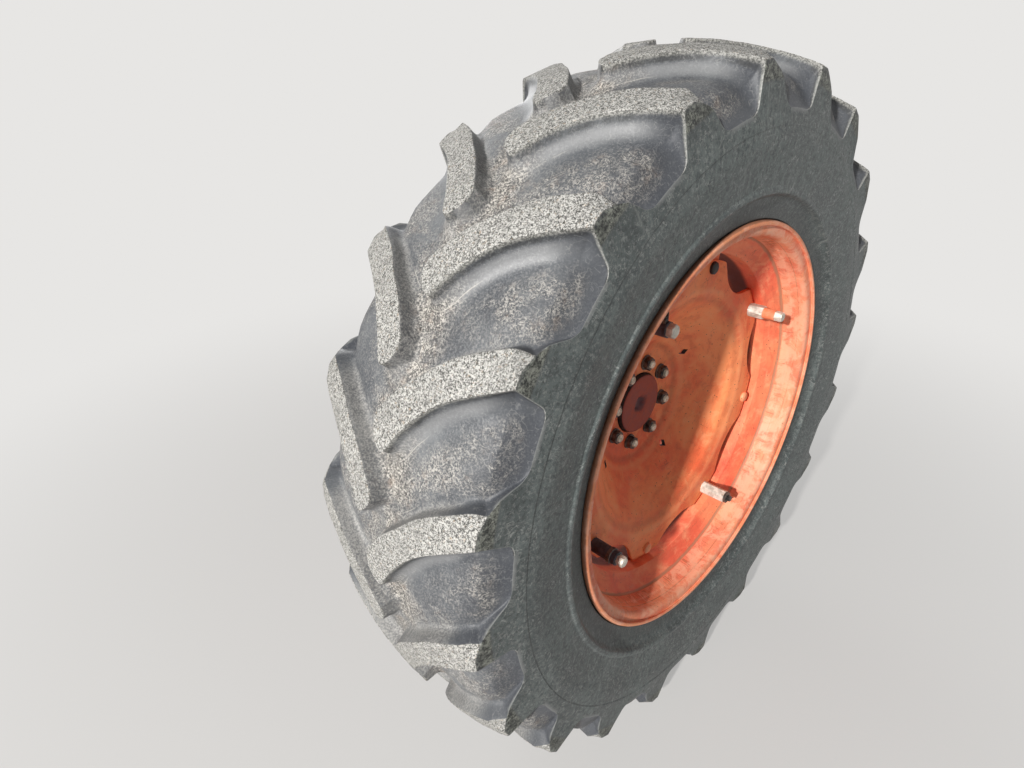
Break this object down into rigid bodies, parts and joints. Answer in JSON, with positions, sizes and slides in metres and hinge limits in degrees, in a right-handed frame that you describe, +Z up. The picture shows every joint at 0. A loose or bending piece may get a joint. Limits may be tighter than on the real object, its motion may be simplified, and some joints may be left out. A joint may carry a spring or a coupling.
{
  "type": "tractor rear wheel on axle end",
  "caption": "Farm tractor rear wheel: lugged traction tyre on a deep steel rim with a scalloped bolted disc, turning on its axle housing and half shaft.",
  "frame": {"origin": "centre of the axle housing's inner bolting face, on the axle", "axes": "+Y along the axle towards the tractor, -Y to the wheel's outer side, +Z up, +X to the tractor's rear"},
  "size_m": [1.5232, 0.727, 1.5232],
  "materials": {
    "tyre_rubber": "matt, dusty",
    "wheel_paint": "faded gloss",
    "hub_paint": "faded gloss",
    "housing_paint": "satin",
    "dark_steel": "oiled dark",
    "zinc_steel": "dull zinc",
    "brass": "dull"
  },
  "bodies": {
    "axle_end": {"axle_housing": "housing_paint", "seal_retainer": "housing_paint", "retainer_bolt_1": "dark_steel", "retainer_bolt_2": "dark_steel", "retainer_bolt_3": "dark_steel", "retainer_bolt_4": "dark_steel", "retainer_bolt_5": "dark_steel", "retainer_bolt_6": "dark_steel"},
    "road_wheel": {"half_shaft": "hub_paint", "wheel_disc": "wheel_paint", "wheel_rim": "wheel_paint", "valve_stem": "brass", "tyre": "tyre_rubber", "wheel_stud_1": "dark_steel", "wheel_stud_2": "dark_steel", "wheel_stud_3": "dark_steel", "wheel_stud_4": "dark_steel", "wheel_stud_5": "dark_steel", "wheel_stud_6": "dark_steel", "wheel_stud_7": "dark_steel", "wheel_stud_8": "dark_steel", "wheel_nut_1": "dark_steel", "wheel_nut_2": "dark_steel", "wheel_nut_3": "dark_steel", "wheel_nut_4": "dark_steel", "wheel_nut_5": "dark_steel", "wheel_nut_6": "dark_steel", "wheel_nut_7": "dark_steel", "wheel_nut_8": "dark_steel", "rim_lug_1": "wheel_paint", "rim_lug_2": "wheel_paint", "rim_lug_3": "wheel_paint", "rim_lug_4": "wheel_paint", "rim_lug_5": "wheel_paint", "rim_lug_6": "wheel_paint", "rim_lug_7": "wheel_paint", "rim_lug_8": "wheel_paint", "dual_sleeve_1": "zinc_steel", "dual_sleeve_2": "zinc_steel", "dual_sleeve_3": "zinc_steel", "dual_sleeve_4": "zinc_steel", "sleeve_bolt_1": "zinc_steel", "sleeve_bolt_2": "zinc_steel", "sleeve_bolt_3": "zinc_steel", "sleeve_bolt_4": "zinc_steel", "disc_bolt_1": "wheel_paint", "disc_bolt_2": "wheel_paint", "disc_bolt_3": "wheel_paint", "disc_bolt_4": "wheel_paint"}
  },
  "joints": [
    {"name": "wheel_turn", "type": "hinge", "parent": "axle_end", "child": "road_wheel", "pos_m": [0, -0.453, 0], "axis": [0, 1, 0], "continuous": true}
  ]
}
